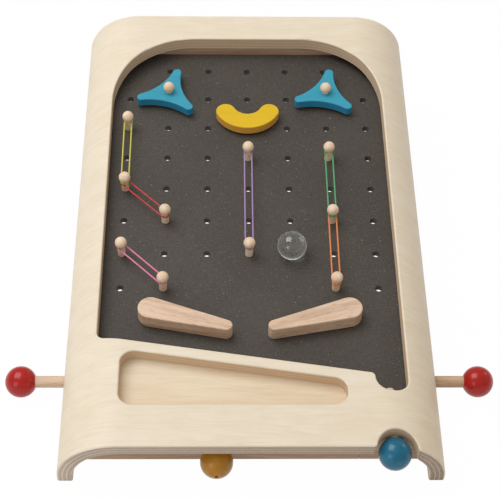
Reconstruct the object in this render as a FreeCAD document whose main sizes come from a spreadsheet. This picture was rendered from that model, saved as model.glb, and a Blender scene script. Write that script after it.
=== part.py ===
"""Tabletop pinball board: a bent plywood case with a sunken peg board, two flippers worked by side
push rods, a spring plunger, a small drawer, and loose pegs, bands, bumpers and a marble.

The board frame has X to the player's right, Y up the board and Z along the board's normal, with
its origin at the middle of the hole row nearest the player, on the playfield's surface.  Every
finished piece is then set down on the table by one turn about X and one shift.
"""
import FreeCAD, Part
import math
import os
import re
import Sketcher

DIMENSIONS = {
    # case
    "tilt": 7, "body_width": 302.4, "body_length": 468, "ply": 12.2, "bend_radius": 49,
    "front_rise": 54.3, "row_setback": 161.5, "edge_round": 1.2, "foot_round": 1.6,
    # playfield and its window
    "playfield_gap": 8.4, "board": 6, "hole_pitch": 36, "hole_radius": 3, "window_width": 246,
    "hole_border": 12, "window_back": 31.1, "window_corner": 74, "toe_corner": 8, "slope_drop": 80.3,
    "slope_angle": 9, "groove_depth": 5,
    # tray
    "tray_left": 103.2, "tray_right": 74.7, "tray_front": 124.5, "tray_gap": 9.5,
    "tray_corner": 11, "tray_lap": 3, "tray_panel": 4,
    # rails and battens
    "rail_height": 35.2, "apron_setback": 15.5, "apron": 8, "back_rail": 14, "slope_rail": 7.5,
    "slope_rail_end": 2, "rail_setback": 1, "batten_width": 6.5, "batten_height": 10, "batten_front": 52,
    # plunger
    "plunger_x": 13.8, "plunger_clear": 0.2, "plunger_height": 4.4, "plunger_radius": 4.2,
    "plunger_reach": 100.5, "plunger_travel": 18, "pocket_radius": 12.5, "pocket_shift": 0.3,
    "pocket_front": 111.2, "pocket_corner": 12, "pocket_lip": 4, "notch_radius": 16,
    "notch_shift": 1.2, "notch_lip": 3, "groove_skin": 9, "guide_width": 6, "guide_setback": 4,
    "block_left": 24.2, "plunger_pin_y": 114, "plunger_pin_drop": 15, "plunger_spring_length": 20,
    "plunger_coil": 3, "anchor_radius": 2.5, "anchor_seat": 3.5,
    # push rods
    "rod_y": 74, "rod_drop": 28, "rod_radius": 4.75, "rod_travel": 20, "knob_radius": 12.8,
    "knob_x": 35.3, "knob_seat": 2, "collar": 3, "collar_radius": 8, "rod_coil": 6.4,
    "guide_x": 98, "guide_block": 10, "guide_half": 12, "guide_foot": 38, "yoke": 12,
    "yoke_gap": 1, "yoke_half_height": 7.5, "yoke_margin": 6, "pin_radius": 2, "pin_seat": 10,
    "pin_clear": 0.15,
    # flippers
    "pivot_x": 81.3, "pivot_y": 29, "flipper_length": 64, "flipper_root": 10.35,
    "flipper_tip": 5.1, "flipper_thick": 13.2, "flipper_lift": 0.8, "flipper_rest": 15.5,
    "shaft_radius": 4, "shaft_top": 9, "pivot_block": 24, "pivot_block_thick": 8,
    "crank_reach": 32.5, "crank_thick": 6, "crank_boss": 9, "crank_half": 5.5, "flipper_round": 1,
    # drawer
    "drawer_depth": 46, "drawer_wall": 5, "drawer_floor": 3, "drawer_left": 8.5,
    "drawer_top": 6.5, "drawer_bottom": 25.3, "drawer_gap": 0.3, "divider": 6,
    "runner_drop": 6, "knob_screw_radius": 2, "knob_screw_head": 4, "knob_screw_length": 16,
    # pegs, bands and bumpers
    "peg_radius": 2.95, "peg_head": 5, "peg_head_height": 15.5, "peg_tail": 12, "peg_neck": 2.6,
    "neck_low": 7.8, "band_height": 10.3, "band_step": 1.6, "band_radius": 0.65,
    "bumper_thick": 8, "bumper_lift": 2.9, "collar_height": 2.7, "peg_collar": 4.6,
    "star_radius": 26, "star_tip": 4, "star_waist": 12.3, "star_head_height": 16.4,
    "bumper_arc": 22.2, "bumper_half_width": 8.75, "bumper_angle": 62.9, "bumper_roof": 2.6,
    "bumper_round": 0.8,
    "left_star_turn": -15.5, "right_star_turn": -10.4,
    # marble and fastenings
    "marble_radius": 12.5, "screw_radius": 1.5, "screw_head": 3.2, "screw_bite": 7,
    "wire": 0.5, "run_clear": 0.05, "glue_clear": 0.02, "seat_gap": 0.3,
}


def grid_reach():
    """The outermost column and the furthest row of holes that fit the window and clear the battens."""
    d = DIMENSIONS
    bend_drop = d["bend_radius"] - d["ply"] - d["playfield_gap"]
    board_edge = (d["body_width"] / 2 - d["bend_radius"]
                  + math.sqrt((d["bend_radius"] - d["ply"]) ** 2 - bend_drop ** 2))
    side_room = min(d["window_width"] / 2 - d["hole_border"],
                    board_edge - d["batten_width"] - d["hole_radius"] - d["seat_gap"])
    back_room = d["body_length"] - d["row_setback"] - d["window_back"] - d["hole_border"]
    return int(side_room / d["hole_pitch"]), int(back_room / d["hole_pitch"])


OUTER, TOP = grid_reach()
BUMPER_COLUMN = max(OUTER - 1, 2)

doc = FreeCAD.newDocument("pinball_board")
sheet = doc.addObject("Spreadsheet::Sheet", "Dims")
for row, (word, number) in enumerate(DIMENSIONS.items(), start=1):
    sheet.set(f"A{row}", word)
    sheet.set(f"B{row}", str(number))
    sheet.setAlias(f"B{row}", word)
doc.recompute()

finished = []
spots = {}
runs = {}


# ---------------------------------------------------------------- helpers

def tie(thing, place, formula):
    """Bind a property to a formula written with the sheet's words."""
    linked = re.sub(r"[a-z][a-z_]+", lambda m: "Dims." + m[0] if m[0] in DIMENSIONS else m[0],
                    str(formula))
    thing.setExpression(place, linked)


def move(thing, x, y, z):
    spots[thing.Name] = (x, y, z)
    for axis, formula in zip("xyz", (x, y, z)):
        tie(thing, "Placement.Base." + axis, formula)
    return thing


def box(name, low, high):
    """A block between two corners, each a triple of formulas."""
    block = doc.addObject("Part::Box", name)
    for side, a, b in zip(("Length", "Width", "Height"), low, high):
        tie(block, side, f"({b}) - ({a})")
    return move(block, *low)


AXES = {"x": FreeCAD.Rotation(FreeCAD.Vector(0, 1, 0), 90),
        "y": FreeCAD.Rotation(FreeCAD.Vector(1, 0, 0), -90),
        "z": FreeCAD.Rotation()}


def rod(name, start, axis, radius, length):
    """A round bar that starts at a point and runs along +x, +y or +z."""
    bar = doc.addObject("Part::Cylinder", name)
    bar.Placement = FreeCAD.Placement(FreeCAD.Vector(), AXES[axis])
    tie(bar, "Radius", radius)
    tie(bar, "Height", length)
    runs[bar.Name] = axis
    return move(bar, *start)


def ball(name, centre, radius):
    sphere = doc.addObject("Part::Sphere", name)
    tie(sphere, "Radius", radius)
    return move(sphere, *centre)


def boolean(kind, name, shapes):
    joined = doc.addObject("Part::Multi" + kind, name)
    joined.Shapes = shapes
    joined.Refine = True
    return joined


def fuse(name, *shapes):
    return boolean("Fuse", name, list(shapes))


def common(name, *shapes):
    return boolean("Common", name, list(shapes))


def cut(name, base, *tools):
    left = doc.addObject("Part::Cut", name)
    left.Base = base
    left.Tool = tools[0] if len(tools) == 1 else fuse(name + "_tools", *tools)
    left.Refine = True
    return left


def plane_of(body, role):
    return [part for part in body.Origin.OriginFeatures if part.Role == role][0]


def draw_polygon(sketch, points):
    """A closed outline whose corners are pairs of formulas."""
    count = len(points)
    ring = [FreeCAD.Vector(math.cos(2 * math.pi * i / count), math.sin(2 * math.pi * i / count), 0)
            for i in range(count)]
    for i in range(count):
        sketch.addGeometry(Part.LineSegment(ring[i], ring[(i + 1) % count]), False)
    for i in range(count):
        sketch.addConstraint(Sketcher.Constraint("Coincident", i, 2, (i + 1) % count, 1))
    for i, corner in enumerate(points):
        for kind, formula in zip(("DistanceX", "DistanceY"), corner):
            number = sketch.addConstraint(Sketcher.Constraint(kind, -1, 1, i, 1, 1.0))
            tie(sketch, f"Constraints[{number}]", formula)


def draw_circle(sketch, x, y, radius):
    index = sketch.addGeometry(Part.Circle(FreeCAD.Vector(1, 1, 0), FreeCAD.Vector(0, 0, 1), 1), False)
    number = sketch.addConstraint(Sketcher.Constraint("Radius", index, 1.0))
    tie(sketch, f"Constraints[{number}]", radius)
    for kind, formula in (("DistanceX", x), ("DistanceY", y)):
        number = sketch.addConstraint(Sketcher.Constraint(kind, -1, 1, index, 3, 1.0))
        tie(sketch, f"Constraints[{number}]", formula)


def new_sketch(body, name, role):
    sketch = body.newObject("Sketcher::SketchObject", name)
    sketch.AttachmentSupport = [(plane_of(body, role), "")]
    sketch.MapMode = "FlatFace"
    return sketch


def prism(name, points, low, height, rounds=(), upright=True):
    """An outline padded along Z from `low`, or along -Y from `low` when it isn't upright.
    `rounds` gives (corner number, radius) pairs."""
    body = doc.addObject("PartDesign::Body", name)
    sketch = new_sketch(body, name + "_outline", "XY_Plane" if upright else "XZ_Plane")
    draw_polygon(sketch, points)
    tie(sketch, "AttachmentOffset.Base.z", low)
    pad = body.newObject("PartDesign::Pad", name + "_pad")
    pad.Profile = sketch
    tie(pad, "Length", height)
    doc.recompute()
    base = pad
    for corner, radius in rounds:
        spot = sketch.Geometry[corner].StartPoint
        spot = FreeCAD.Vector(spot.x, spot.y, 0) if upright else FreeCAD.Vector(spot.x, 0, spot.y)
        base = round_edges(body, base, radius, lambda edge: passes(edge, spot, upright))
    return body


def passes(edge, spot, upright):
    """True where a straight edge runs along the pad's direction through the given corner."""
    ends = [vertex.Point for vertex in edge.Vertexes]
    if len(ends) != 2:
        return False
    return all(math.hypot(end.x - spot.x, (end.y - spot.y) if upright else (end.z - spot.z)) < 1e-4
               for end in ends)


def round_edges(body, base, radius, wanted):
    fillet = body.newObject("PartDesign::Fillet", base.Name + "_round")
    chosen = [f"Edge{i}" for i, edge in enumerate(base.Shape.Edges, start=1) if wanted(edge)]
    fillet.Base = (base, chosen)
    tie(fillet, "Radius", radius)
    doc.recompute()
    return fillet


def soften(name, blank, radius, wanted):
    """The blank with the edges that `wanted` picks rounded over."""
    body = doc.addObject("PartDesign::Body", name + "_soft")
    body.BaseFeature = blank
    doc.recompute()
    round_edges(body, body.Tip, radius, wanted)
    return body


def finish(name, piece):
    """Set a piece that was built in the board frame down on the table under its own name."""
    piece.Label = name
    x, y, z = spots.get(piece.Name, ("0", "0", "0"))
    turn = {"y": "tilt - 90", "x": "90"}.get(runs.get(piece.Name), "tilt")
    if runs.get(piece.Name) != "x":
        piece.Placement = FreeCAD.Placement(FreeCAD.Vector(), FreeCAD.Rotation(FreeCAD.Vector(1, 0, 0), 1))
    tie(piece, "Placement.Rotation.Angle", turn)
    move(piece, x, f"({y}) * cos(tilt) - ({z}) * sin(tilt) + {TABLE_Y}",
         f"({y}) * sin(tilt) + ({z}) * cos(tilt) + {TABLE_Z}")
    finished.append(piece)
    return piece


# ---------------------------------------------------------------- shared places

half = "(body_width / 2)"
deck_top = "(playfield_gap + ply)"
bend_x = "(body_width / 2 - bend_radius)"
bend_z = "(playfield_gap + ply - bend_radius)"
front = "(-row_setback)"
back = "(body_length - row_setback)"
foot = "(playfield_gap + ply - front_rise)"
window_half = "(window_width / 2)"
rail_bottom = "(playfield_gap - rail_height)"
apron_face = "(-row_setback + apron_setback)"
apron_back = "(-row_setback + apron_setback + apron)"
plunger_knob_y = "(-row_setback + apron_setback - seat_gap - knob_radius)"
window_end = "(body_length - row_setback - window_back)"
bend_room = "(bend_radius - groove_skin - plunger_radius - plunger_clear)"
lane_limit = f"({bend_x} + sqrt({bend_room}^2 - (plunger_height - {bend_z})^2))"
lane_x = f"min({window_half} - plunger_x; {lane_limit})"
lane_left = f"({lane_x} - pocket_radius + pocket_shift)"
block_side = f"({lane_x} - block_left)"
above_deck = f"({deck_top} + ply)"
cut_height = f"({above_deck} - {bend_z})"
far_below = "(playfield_gap + ply - front_rise - body_length * tan(tilt) - ply)"
TABLE_Z = "row_setback * sin(tilt) + (front_rise - playfield_gap - ply) * cos(tilt)"
front_reach = ("((row_setback - apron_setback + seat_gap + knob_radius) * cos(tilt)"
               " + plunger_height * sin(tilt) + knob_radius)")
back_reach = ("((body_length - row_setback) * cos(tilt) + (front_rise - playfield_gap - ply"
              " + body_length * tan(tilt)) * sin(tilt))")
TABLE_Y = f"({front_reach} - {back_reach}) / 2"


def slope(x, below=0):
    """Height up the board of the slanted edge, at x, less a distance below it."""
    return f"(-slope_drop - ({below}) - ({x}) * tan(slope_angle))"


def hollow(name, clear="0"):
    """The space inside the bent case, kept a distance clear of its walls."""
    side = f"({half} - ply - ({clear}))"
    roof = f"(playfield_gap - ({clear}))"
    bend = f"(bend_radius - ply - ({clear}))"
    corners = [(f"-{side}", far_below), (f"-{side}", roof), (side, roof), (side, far_below)]
    return prism(name, corners, f"-{back}", "body_length", [(1, bend), (2, bend)], upright=False)


# ---------------------------------------------------------------- case

room = hollow("room")
drawer_room = hollow("drawer_room", "drawer_gap")

channel = prism("channel", [
    (f"-{half}", far_below), (f"-{half}", deck_top), (half, deck_top), (half, far_below),
    (f"{half} - ply", far_below), (f"{half} - ply", "playfield_gap"),
    (f"-{half} + ply", "playfield_gap"), (f"-{half} + ply", far_below)],
    f"-{back}", "body_length",
    [(1, "bend_radius"), (2, "bend_radius"), (5, "bend_radius - ply"), (6, "bend_radius - ply")],
    upright=False)

window = prism("window", [
    (f"-{window_half}", slope(f"-{window_half}")), (lane_left, slope(lane_left)),
    (lane_left, "-pocket_front"), (window_half, "-pocket_front"),
    (window_half, window_end), (f"-{window_half}", window_end)],
    bend_z, cut_height,
    [(0, "toe_corner"), (1, "pocket_lip"), (2, "pocket_radius"), (3, "pocket_corner"),
     (4, "window_corner"), (5, "window_corner")])

tray_cut = prism("tray_cut", [
    ("-tray_left", "-tray_front"), ("tray_right", "-tray_front"),
    ("tray_right", slope("tray_right", "tray_gap")), ("-tray_left", slope("-tray_left", "tray_gap"))],
    bend_z, cut_height, [(corner, "tray_corner") for corner in range(4)])

notch_x = f"({lane_x} + notch_shift)"
notch_blank = fuse("notch_blank",
                   rod("notch_round", (notch_x, front, bend_z), "z", "notch_radius", cut_height),
                   box("notch_mouth", (f"{notch_x} - 2 * notch_radius", f"{front} - notch_radius", bend_z),
                       (f"{notch_x} + 2 * notch_radius", front, above_deck)))


def notch_lips(edge):
    """The two upright edges where the notch's round meets the case's front."""
    start, end = edge.valueAt(edge.FirstParameter), edge.valueAt(edge.LastParameter)
    centre = notch_blank.Shape.BoundBox.Center.x
    upright = math.hypot(end.x - start.x, end.y - start.y) < 1e-6
    at_front = abs(start.y + DIMENSIONS["row_setback"]) < 1e-6
    return upright and at_front and abs(abs(start.x - centre) - DIMENSIONS["notch_radius"]) < 1e-4


doc.recompute()
notch = soften("notch", notch_blank, "notch_lip", notch_lips)
rod_holes = rod("rod_holes", ("-body_width", "-rod_y", "-rod_drop"), "x", "rod_radius + run_clear",
                "2 * body_width")
table = box("table", ("-body_width", "0", "-body_length"), ("body_width", "2 * body_length", "0"))
table.Placement = FreeCAD.Placement(FreeCAD.Vector(), FreeCAD.Rotation(FreeCAD.Vector(1, 0, 0), -1))
tie(table, "Placement.Rotation.Angle", "-tilt")
move(table, "-body_width", f"{front} - body_length / 2 * cos(tilt) - body_length * sin(tilt)",
     f"{foot} + body_length / 2 * sin(tilt) - body_length * cos(tilt)")

case = cut("case", channel, window, tray_cut, notch, rod_holes, table)


def on_outer_face(edge):
    """Edges that bound the case's outer skin: the deck's top, the bends and the sides."""
    points = [edge.valueAt(edge.FirstParameter + f * (edge.LastParameter - edge.FirstParameter))
              for f in (0.1, 0.5, 0.9)]
    values = DIMENSIONS
    radius = values["bend_radius"]
    centre_x = values["body_width"] / 2 - radius
    centre_z = values["playfield_gap"] + values["ply"] - radius
    for point in points:
        across = max(abs(point.x) - centre_x, 0)
        above = max(point.z - centre_z, 0)
        if abs(math.hypot(across, above) - radius) > 0.01:
            return False
    rises = abs(edge.tangentAt(edge.FirstParameter).y) > 0.999 and len(edge.Vertexes) == 2
    long_seam = rises and edge.Length > values["body_length"] / 3
    low = min(point.z for point in points) < centre_z - 1
    return not long_seam and not low


def along_foot(edge):
    """The long edges of the two feet, which run from front to back on the table's plane."""
    points = [edge.valueAt(edge.FirstParameter), edge.valueAt(edge.LastParameter)]
    lean = math.tan(math.radians(DIMENSIONS["tilt"]))
    foot_z = DIMENSIONS["playfield_gap"] + DIMENSIONS["ply"] - DIMENSIONS["front_rise"]
    on_table = all(abs(point.z - foot_z + (point.y + DIMENSIONS["row_setback"]) * lean) < 1e-4
                   for point in points)
    return on_table and abs(points[0].y - points[1].y) > DIMENSIONS["body_length"] / 2


case_on_feet = soften("feet", case, "foot_round", along_foot)
rounded_case = soften("shell", case_on_feet, "edge_round", on_outer_face)
lane_groove = rod("lane_groove", (lane_x, f"{front} - ply", "plunger_height"), "y",
                  "plunger_radius + plunger_clear", "row_setback + ply - plunger_reach")
finish("shell", cut("shell_blank", rounded_case, lane_groove))

# ---------------------------------------------------------------- playfield and rails

board_half = f"({bend_x} + sqrt((bend_radius - ply)^2 - {bend_z}^2) - glue_clear)"
board_front = f"({apron_back} + guide_setback)"
board_back = f"({window_end} + groove_depth)"

board = doc.addObject("PartDesign::Body", "board_blank")
outline = new_sketch(board, "board_outline", "XY_Plane")
draw_polygon(outline, [(f"-{board_half}", board_front), (board_half, board_front),
                       (board_half, board_back), (f"-{board_half}", board_back)])
board_pad = board.newObject("PartDesign::Pad", "board_pad")
board_pad.Profile = outline
board_pad.Reversed = True
tie(board_pad, "Length", "board")
holes = new_sketch(board, "board_holes", "XY_Plane")
for row in range(TOP + 1):
    for column in range(-OUTER, OUTER + 1):
        centre_gap = row == 0 and abs(column) < OUTER - 1
        cut_corner = row == TOP and abs(column) == OUTER
        if not centre_gap and not cut_corner:
            draw_circle(holes, f"{column} * hole_pitch", f"{row} * hole_pitch", "hole_radius")
for side in (-1, 1):
    draw_circle(holes, f"{side} * pivot_x", "-pivot_y", "shaft_radius + run_clear")
hole_cut = board.newObject("PartDesign::Pocket", "board_hole_cut")
hole_cut.Profile = holes
hole_cut.Type = "ThroughAll"
doc.recompute()

slot_half = "(pin_radius + 2 * pin_clear)"
slot_far = "(-plunger_pin_y + 2 * pin_clear)"
slot_near = "(-plunger_pin_y - plunger_travel - 2 * pin_clear)"
plunger_slot = fuse(
    "plunger_slot",
    box("slot_middle", (f"{lane_x} - {slot_half}", slot_near, "-2 * board"),
        (f"{lane_x} + {slot_half}", slot_far, "board")),
    rod("slot_near_end", (lane_x, slot_near, "-2 * board"), "z", slot_half, "3 * board"),
    rod("slot_far_end", (lane_x, slot_far, "-2 * board"), "z", slot_half, "3 * board"))

anchor_y = "(-plunger_pin_y + pin_radius + plunger_spring_length + anchor_radius)"
anchor_hole = rod("anchor_hole", (lane_x, anchor_y, "-2 * board"), "z",
                  "anchor_radius + glue_clear", "board + anchor_seat")

SCREW_PLACES = ("-tray_left * 0.55", "-tray_left * 0.05", "tray_right * 0.8")


def screw(name, x, y, grow):
    """A countersunk wood screw that points up through the board, or the hole it cuts."""
    shank = rod(name + "_shank", (x, y, "-board"), "z", f"screw_radius + {grow}",
                f"board + screw_bite + {grow}")
    head = doc.addObject("Part::Cone", name + "_head")
    tie(head, "Radius1", f"screw_head + {grow}")
    tie(head, "Radius2", f"screw_radius + {grow}")
    tie(head, "Height", "screw_head - screw_radius")
    move(head, x, y, "-board")
    return fuse(name, shank, head)


rail_middle = "rail_setback + slope_rail / 2"
screws = [screw(f"screw_{i}", x, slope(x, rail_middle), "0") for i, x in enumerate(SCREW_PLACES)]
screw_holes = fuse("screw_holes", *[screw(f"screw_hole_{i}", x, slope(x, rail_middle), "glue_clear")
                                    for i, x in enumerate(SCREW_PLACES)])

playfield_blank = cut("playfield_blank", board, plunger_slot, anchor_hole, screw_holes)
finish("playfield", playfield_blank)
finish("board_screws", fuse("screw_set", *screws))

panel_points = [("-tray_left - 2 * tray_lap", "-tray_front - 2 * tray_lap"),
                ("tray_right + 2 * tray_lap", "-tray_front - 2 * tray_lap"),
                ("tray_right + 2 * tray_lap", slope("tray_right + 2 * tray_lap", "tray_gap - tray_lap")),
                ("-tray_left - 2 * tray_lap", slope("-tray_left - 2 * tray_lap", "tray_gap - tray_lap"))]
panel = common("panel", prism("panel_slab", panel_points, "playfield_gap - tray_panel", "tray_panel"),
               room)
finish("tray_panel", panel)
rebate = prism("rebate", [
    (f"-{half}", "-tray_front - 2 * tray_lap"),
    ("tray_right + 2 * tray_lap", "-tray_front - 2 * tray_lap"),
    ("tray_right + 2 * tray_lap", slope("tray_right + 2 * tray_lap", "tray_gap - tray_lap")),
    (f"-{half}", slope(f"-{half}", "tray_gap - tray_lap"))],
    "playfield_gap - tray_panel", "tray_panel")

slope_left = f"(-{board_half} + batten_width)"
slope_right = f"({lane_left} - rail_setback - slope_rail_end)"
slope_slab = prism("slope_slab", [
    (slope_left, slope(slope_left, "rail_setback + slope_rail")),
    (slope_right, slope(slope_right, "rail_setback + slope_rail")),
    (slope_right, slope(slope_right, "rail_setback")),
    (slope_left, slope(slope_left, "rail_setback"))], "0", "playfield_gap")
slope_in_room = common("slope_in_room", slope_slab, room)
finish("slope_rail", cut("slope_blank", slope_in_room, rebate, screw_holes))

back_slab = box("back_slab", (f"-{half}", window_end, rail_bottom),
                (half, f"{window_end} + back_rail", "playfield_gap"))
back_in_room = common("back_in_room", back_slab, room)
back_groove = box("back_groove", (f"-{half}", f"{window_end} - ply", "-board"),
                  (half, board_back, "0"))
finish("back_rail", cut("back_blank", back_in_room, back_groove))

batten_top = "(-board)"
battens = []
for side in (-1, 1):
    inner = f"{side} * ({board_half} - batten_width)"
    outer = f"{side} * {half}"
    low_x, high_x = (outer, inner) if side < 0 else (inner, outer)
    slab = box(f"batten_slab_{side + 1}", (low_x, "-batten_front", f"{batten_top} - batten_height"),
               (high_x, window_end, batten_top))
    battens.append(common(f"batten_{side + 1}", slab, room))
finish("side_battens", fuse("batten_pair", *battens))

# ---------------------------------------------------------------- plunger block and guides

block_slab = box("block_slab", (block_side, apron_face, rail_bottom),
                 (half, apron_back, "playfield_gap"))
bore = rod("plunger_bore", (lane_x, "-body_length", "plunger_height"), "y",
           "plunger_radius + run_clear", "2 * body_length")
bore_throat = box("bore_throat", (f"{lane_x} - plunger_radius - run_clear", "-body_length",
                                  "plunger_height"),
                  (f"{lane_x} + plunger_radius + run_clear", "body_length", "2 * playfield_gap"))
finish("plunger_block", cut("block_blank", common("block_in_room", block_slab, room),
                            bore, bore_throat))

cheeks = []
for side in (-1, 1):
    near = f"{lane_x} + {side} * (plunger_radius + run_clear)"
    far = f"{lane_x} + {side} * (plunger_radius + run_clear + guide_width)"
    low_x, high_x = (far, near) if side < 0 else (near, far)
    slab = box(f"cheek_slab_{side + 1}", (low_x, apron_back, "0"),
               (high_x, "-pocket_front - guide_setback", "playfield_gap"))
    cheeks.append(common(f"cheek_{side + 1}", slab, room))
finish("plunger_guides", fuse("cheek_pair", *cheeks))

plunger_pin_hole = rod("plunger_pin_hole", (lane_x, "-plunger_pin_y", "-2 * plunger_radius"),
                       "z", "pin_radius + glue_clear", "6 * plunger_radius")
rod_back = f"({plunger_knob_y} - knob_seat)"
tip_y = "(-plunger_reach - plunger_radius)"
plunger_bar = fuse("plunger_bar",
                   rod("plunger_stick", (lane_x, rod_back, "plunger_height"), "y",
                       "plunger_radius", f"{tip_y} - {rod_back}"),
                   ball("plunger_tip", (lane_x, tip_y, "plunger_height"), "plunger_radius"))
finish("plunger_rod", cut("plunger_rod_blank", plunger_bar, plunger_pin_hole))

knob_bore = rod("plunger_knob_bore", (lane_x, rod_back, "plunger_height"), "y",
                "plunger_radius + glue_clear", "2 * knob_radius")
finish("plunger_knob", cut("plunger_knob_blank",
                           ball("plunger_ball", (lane_x, plunger_knob_y, "plunger_height"),
                                "knob_radius"), knob_bore))
pin_top = "(plunger_height + plunger_radius / 2)"
finish("plunger_pin", rod("plunger_pin_stick", (lane_x, "-plunger_pin_y", "-plunger_pin_drop"),
                          "z", "pin_radius", f"{pin_top} + plunger_pin_drop"))
finish("spring_anchor", rod("anchor_stick", (lane_x, anchor_y, "-plunger_pin_drop"), "z",
                            "anchor_radius", "plunger_pin_drop - board + anchor_seat - glue_clear"))


def coil(name, start, axis, turns, mean_radius, length):
    """A round-wire spring that starts at a point and runs along +x or +y: a circle along a helix."""
    helix = doc.addObject("Part::Helix", name + "_line")
    helix.Placement = FreeCAD.Placement(FreeCAD.Vector(), AXES[axis])
    tie(helix, "Radius", mean_radius)
    tie(helix, "Height", f"({length}) - 2 * wire - 2 * glue_clear")
    tie(helix, "Pitch", f"(({length}) - 2 * wire - 2 * glue_clear) / {turns}")
    x, y, z = start
    off = "wire + glue_clear"
    section = doc.addObject("Part::Circle", name + "_wire")
    section.Placement = FreeCAD.Placement(
        FreeCAD.Vector(), AXES[axis].multiply(FreeCAD.Rotation(FreeCAD.Vector(1, 0, 0), 90)))
    tie(section, "Radius", "wire")
    if axis == "x":
        move(helix, f"({x}) + {off}", y, z)
        move(section, f"({x}) + {off}", y, f"({z}) - {mean_radius}")
    else:
        move(helix, x, f"({y}) + {off}", z)
        move(section, f"({x}) + {mean_radius}", f"({y}) + {off}", z)
    doc.recompute()
    spring = doc.addObject("Part::Sweep", name)
    spring.Sections = [section]
    spring.Spine = (helix, ["Edge1"])
    spring.Solid = True
    spring.Frenet = True
    return spring


def carried(name, shape, x, y, z, angle):
    """The shape, built about the origin, turned about Z and carried to a point."""
    carrier = doc.addObject("Part::Compound", name)
    carrier.Links = [shape]
    carrier.Placement = FreeCAD.Placement(FreeCAD.Vector(), FreeCAD.Rotation(FreeCAD.Vector(0, 0, 1), 1))
    tie(carrier, "Placement.Rotation.Angle", angle)
    return move(carrier, x, y, z)


finish("plunger_spring", coil("plunger_coil_sweep",
                              (lane_x, "-plunger_pin_y + pin_radius",
                               "-board - plunger_coil - 2 * wire - seat_gap"),
                              "y", 9, "plunger_coil", "plunger_spring_length"))

# ---------------------------------------------------------------- push rods and flippers

knob_centre = f"({half} + knob_x)"
crank_top = "(-board - pivot_block_thick - seat_gap)"
crank_low = f"({crank_top} - crank_thick)"
yoke_outer = "(guide_x - yoke_gap)"
yoke_inner = "(guide_x - yoke_gap - yoke)"
yoke_top = f"({crank_low} - 4 * seat_gap)"
rod_inner = f"({yoke_outer} - pin_seat)"
collar_top = f"(collar_radius - rod_drop - {bend_z})"
collar_outer = f"({bend_x} + sqrt((bend_radius - ply)^2 - {collar_top}^2) - seat_gap)"
guide_outer = "(guide_x + guide_block)"
pin_y = "(-pivot_y - crank_reach)"
slot_reach = "(sqrt(crank_reach^2 + (rod_travel / 2)^2))"
crank_turn = "atan(rod_travel / 2 / crank_reach)"
taper = "((flipper_root - flipper_tip) / flipper_length)"
straight = f"sqrt(1 - {taper}^2)"


def across(side, low, high):
    """The two x limits of a span given on the right, mirrored when side is -1, in rising order."""
    return (f"-({high})", f"-({low})") if side < 0 else (low, high)


def outline_of_flipper(name):
    edge = prism(name + "_web", [
        (f"flipper_root * {taper}", f"flipper_root * {straight}"),
        (f"flipper_root * {taper}", f"-flipper_root * {straight}"),
        (f"flipper_length + flipper_tip * {taper}", f"-flipper_tip * {straight}"),
        (f"flipper_length + flipper_tip * {taper}", f"flipper_tip * {straight}")],
        "flipper_lift", "flipper_thick")
    root = rod(name + "_root", ("0", "0", "flipper_lift"), "z", "flipper_root", "flipper_thick")
    tip = rod(name + "_tip", ("flipper_length", "0", "flipper_lift"), "z", "flipper_tip", "flipper_thick")
    return fuse(name + "_plan", edge, root, tip)


def around_top(lift, thick):
    """The test for edges round the top face of a block that stands `lift` above the board."""
    top = DIMENSIONS[lift] + DIMENSIONS[thick]

    def on_top(edge):
        span = edge.LastParameter - edge.FirstParameter
        return all(abs(edge.valueAt(edge.FirstParameter + f * span).z - top) < 1e-4
                   for f in (0.1, 0.5, 0.9))
    return on_top


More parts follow.
